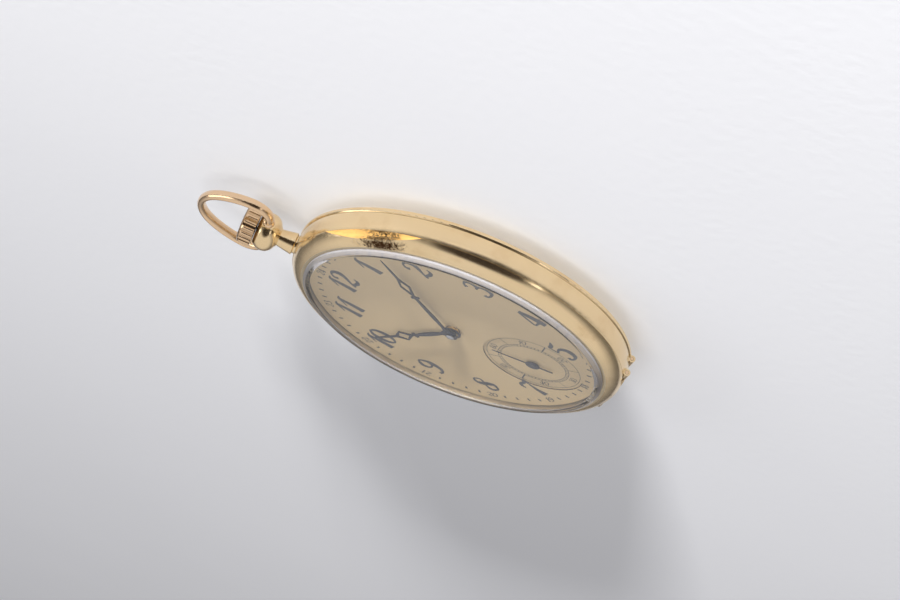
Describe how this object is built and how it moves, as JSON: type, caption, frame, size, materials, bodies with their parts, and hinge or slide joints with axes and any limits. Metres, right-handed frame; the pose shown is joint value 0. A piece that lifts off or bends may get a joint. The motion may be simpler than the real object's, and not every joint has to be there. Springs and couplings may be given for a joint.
{
  "type": "open face pocket watch",
  "caption": "Slim open face pocket watch with sunk seconds dial, domed crystal, hinged bezel and back, stirrup bow and a full keyless lever movement.",
  "frame": {"origin": "centre of the watch's flat back, on the axis of the hands", "axes": "+Z out through the dial and crystal, +Y to 12 o'clock and the pendant, +X to 3 o'clock"},
  "size_m": [0.0496, 0.0645, 0.0089],
  "materials": {
    "gold": "polished",
    "crystal": "clear",
    "dial": "matt champagne",
    "plate": "frosted",
    "wheel": "gilt",
    "steel": "polished",
    "blued_steel": "blued",
    "ruby": "polished"
  },
  "bodies": {
    "case": {"case_middle": "gold", "pendant": "gold", "bezel_hinge_pin": "gold", "back_hinge_pin": "gold", "case_screws": "steel", "main_plate": "plate", "barrel_bridge": "plate", "train_bridge": "plate", "bridge_screws": "steel", "jewels": "ruby", "click_spring": "steel", "pallet_cock": "plate", "cock_screws": "steel", "balance_cock": "plate", "hairspring": "blued_steel", "hairspring_stud": "steel", "yoke_spring": "steel", "dial": "dial", "dial_screws": "steel"},
    "bezel": {"bezel": "gold", "crystal": "crystal"},
    "back": {"back_cover": "gold"},
    "cuvette": {"cuvette": "gold"},
    "bow": {"bow": "gold"},
    "winding_pinion": {"winding_pinion": "steel"},
    "crown": {"crown": "gold", "stem": "steel"},
    "sliding_pinion": {"sliding_pinion": "steel"},
    "crown_wheel": {"crown_wheel": "steel", "crown_wheel_screw": "steel"},
    "ratchet": {"ratchet_wheel": "steel", "ratchet_screw": "steel", "barrel_arbor": "steel"},
    "click": {"click": "steel"},
    "setting_lever": {"setting_lever": "steel"},
    "yoke": {"yoke": "steel"},
    "centre": {"centre_wheel": "wheel", "centre_pinion": "steel", "cannon_pinion": "steel", "minute_hand": "blued_steel"},
    "barrel": {"barrel_drum": "wheel", "barrel_cover": "wheel", "mainspring": "steel"},
    "third": {"third_wheel": "wheel", "third_pinion": "steel"},
    "fourth": {"fourth_wheel": "wheel", "fourth_pinion": "steel", "seconds_hand": "blued_steel"},
    "escape": {"escape_wheel": "steel", "escape_pinion": "steel"},
    "pallet": {"pallet_fork": "steel", "pallet_stones": "ruby"},
    "balance": {"balance_wheel": "wheel", "balance_screws": "wheel", "balance_staff": "steel"},
    "regulator": {"regulator": "steel"},
    "minute_wheel": {"minute_wheel": "wheel"},
    "hour": {"hour_wheel": "wheel", "hour_hand": "blued_steel"},
    "setting_wheel": {"setting_wheel": "steel"}
  },
  "joints": [
    {"name": "bezel_open", "type": "hinge", "parent": "case", "child": "bezel", "pos_m": [0, -0.02385, 0.00545], "axis": [1, 0, 0], "range_deg": [0, 90]},
    {"name": "back_open", "type": "hinge", "parent": "case", "child": "back", "pos_m": [0, -0.02385, 0.0033], "axis": [-1, 0, 0], "range_deg": [0, 95]},
    {"name": "cuvette_open", "type": "hinge", "parent": "case", "child": "cuvette", "pos_m": [0, -0.02385, 0.0033], "axis": [-1, 0, 0], "range_deg": [0, 70]},
    {"name": "bow_swing", "type": "hinge", "parent": "case", "child": "bow", "pos_m": [0, 0.0293, 0.00465], "axis": [1, 0, 0], "range_deg": [-85, 88]},
    {"name": "winding_turn", "type": "hinge", "parent": "case", "child": "winding_pinion", "pos_m": [0, 0.0152, 0.00465], "axis": [0, 1, 0], "continuous": true},
    {"name": "crown_pull", "type": "slide", "parent": "winding_pinion", "child": "crown", "axis": [0, 1, 0], "range_m": [0, 0.0009]},
    {"name": "clutch_shift", "type": "slide", "parent": "winding_pinion", "child": "sliding_pinion", "axis": [0, 1, 0], "range_m": [-0.0005, 0]},
    {"name": "setting_lever_turn", "type": "hinge", "parent": "case", "child": "setting_lever", "pos_m": [0.0032, 0.01735, 0.0056], "axis": [0, 0, 1], "range_deg": [-17.2, 0]},
    {"name": "yoke_turn", "type": "hinge", "parent": "case", "child": "yoke", "pos_m": [-0.0036, 0.0156, 0.00565], "axis": [0, 0, 1], "range_deg": [-8.6, 0]},
    {"name": "crown_wheel_turn", "type": "hinge", "parent": "case", "child": "crown_wheel", "pos_m": [0, 0.01219, 0.002], "axis": [0, 0, 1], "continuous": true},
    {"name": "ratchet_turn", "type": "hinge", "parent": "case", "child": "ratchet", "pos_m": [-0.00831, 0.0048, 0.002], "axis": [0, 0, 1], "continuous": true},
    {"name": "click_turn", "type": "hinge", "parent": "case", "child": "click", "pos_m": [-0.01548, -0.00022, 0.00195], "axis": [0, 0, 1], "range_deg": [-10, 0]},
    {"name": "centre_turn", "type": "hinge", "parent": "case", "child": "centre", "pos_m": [0, 0, 0.004], "axis": [0, 0, 1], "continuous": true},
    {"name": "barrel_turn", "type": "hinge", "parent": "case", "child": "barrel", "pos_m": [-0.00831, 0.0048, 0.0044], "axis": [0, 0, 1], "continuous": true},
    {"name": "third_turn", "type": "hinge", "parent": "case", "child": "third", "pos_m": [0.00349, -0.00681, 0.004], "axis": [0, 0, 1], "continuous": true},
    {"name": "fourth_turn", "type": "hinge", "parent": "case", "child": "fourth", "pos_m": [0, -0.01214, 0.004], "axis": [0, 0, 1], "continuous": true},
    {"name": "escape_turn", "type": "hinge", "parent": "case", "child": "escape", "pos_m": [0.00511, -0.01347, 0.004], "axis": [0, 0, 1], "continuous": true},
    {"name": "minute_wheel_turn", "type": "hinge", "parent": "case", "child": "minute_wheel", "pos_m": [0.0016, 0.00452, 0.0054], "axis": [0, 0, 1], "continuous": true},
    {"name": "hour_turn", "type": "hinge", "parent": "case", "child": "hour", "pos_m": [0, 0, 0.006], "axis": [0, 0, 1], "continuous": true},
    {"name": "setting_wheel_turn", "type": "hinge", "parent": "case", "child": "setting_wheel", "pos_m": [0.00088, 0.00967, 0.0054], "axis": [0, 0, 1], "continuous": true},
    {"name": "pallet_rock", "type": "hinge", "parent": "case", "child": "pallet", "pos_m": [0.00814, -0.01097, 0.0038], "axis": [0, 0, 1], "range_deg": [-5, 5]},
    {"name": "balance_swing", "type": "hinge", "parent": "case", "child": "balance", "pos_m": [0.01161, -0.00811, 0.0026], "axis": [0, 0, 1], "range_deg": [-270, 270]},
    {"name": "regulator_turn", "type": "hinge", "parent": "case", "child": "regulator", "pos_m": [0.01161, -0.00811, 0.0015], "axis": [0, 0, 1], "range_deg": [-15, 15]}
  ],
  "couplings": [
    {"joint": "cuvette_open", "follows": "back_open", "ratio": 0.7},
    {"joint": "clutch_shift", "follows": "crown_pull", "ratio": -0.55556},
    {"joint": "setting_lever_turn", "follows": "crown_pull", "rad_per_m": -332.82},
    {"joint": "yoke_turn", "follows": "crown_pull", "rad_per_m": -164.84},
    {"joint": "crown_wheel_turn", "follows": "winding_turn", "ratio": 0.4},
    {"joint": "ratchet_turn", "follows": "winding_turn", "ratio": -0.2717},
    {"joint": "barrel_turn", "follows": "centre_turn", "ratio": -0.14286},
    {"joint": "third_turn", "follows": "centre_turn", "ratio": -8},
    {"joint": "fourth_turn", "follows": "centre_turn", "ratio": 60},
    {"joint": "escape_turn", "follows": "centre_turn", "ratio": -600},
    {"joint": "minute_wheel_turn", "follows": "centre_turn", "ratio": -0.33333},
    {"joint": "hour_turn", "follows": "centre_turn", "ratio": 0.083333},
    {"joint": "setting_wheel_turn", "follows": "centre_turn", "ratio": 0.75}
  ]
}
